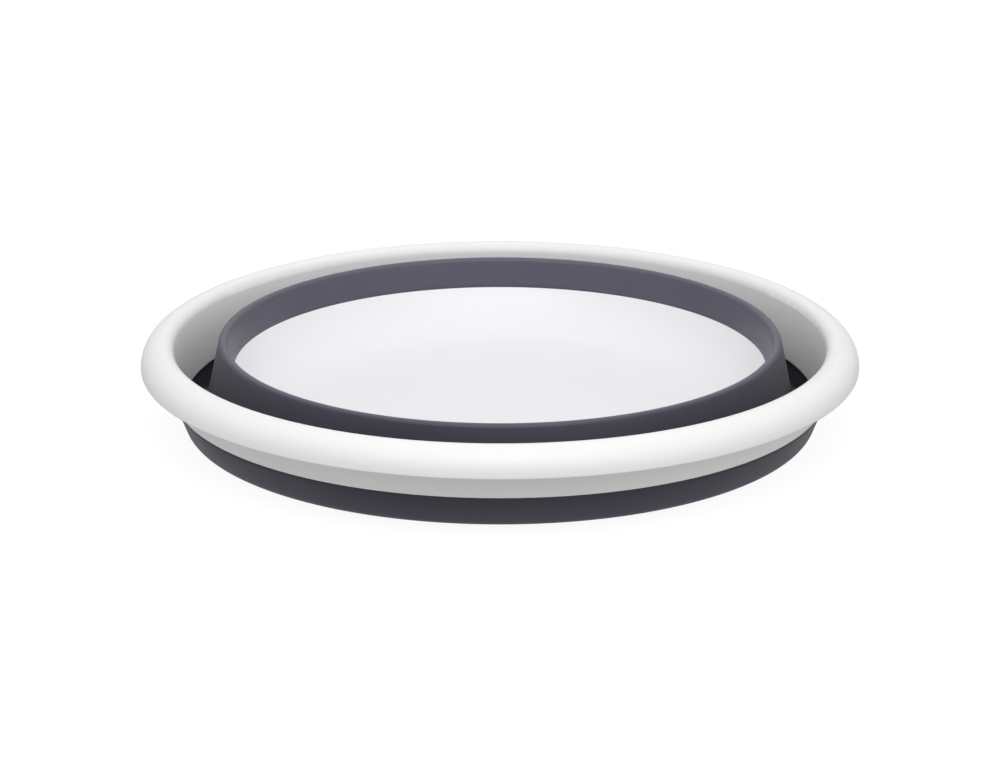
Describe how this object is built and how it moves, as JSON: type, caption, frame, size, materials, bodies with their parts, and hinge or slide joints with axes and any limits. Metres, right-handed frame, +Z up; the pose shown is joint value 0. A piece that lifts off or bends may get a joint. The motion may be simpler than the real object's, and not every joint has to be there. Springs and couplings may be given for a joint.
{
  "type": "collapsible bowl",
  "caption": "Round collapsible bowl, folded flat: a thick white rim and a white dish joined by a grey soft wall that folds down and up again.",
  "frame": {"origin": "on the table, under the middle of the foot ring", "axes": "+Z up, along the bowl's axis of symmetry; the bowl is round, so X and Y have no front"},
  "size_m": [0.3, 0.3, 0.0388],
  "materials": {
    "white_rim": "satin moulded polypropylene, fine even texture",
    "white_dish": "smooth moulded polypropylene, half gloss",
    "soft_grey": "matt thermoplastic elastomer, velvety"
  },
  "bodies": {
    "base": {"base_dish": "white_dish", "inner_band": "soft_grey", "foot_ring": "soft_grey"},
    "flip": {"flip_band": "soft_grey"},
    "rim": {"rim_cover": "white_rim", "rim_carrier": "white_rim", "outer_band": "soft_grey"}
  },
  "joints": [
    {"name": "rim_rise", "type": "slide", "parent": "base", "child": "rim", "axis": [0, 0, 1], "range_m": [0, 0.068]},
    {"name": "wall_flip", "type": "slide", "parent": "base", "child": "flip", "axis": [0, 0, 1], "range_m": [0, 0.034]}
  ],
  "couplings": [
    {"joint": "wall_flip", "follows": "rim_rise", "ratio": 0.5}
  ]
}
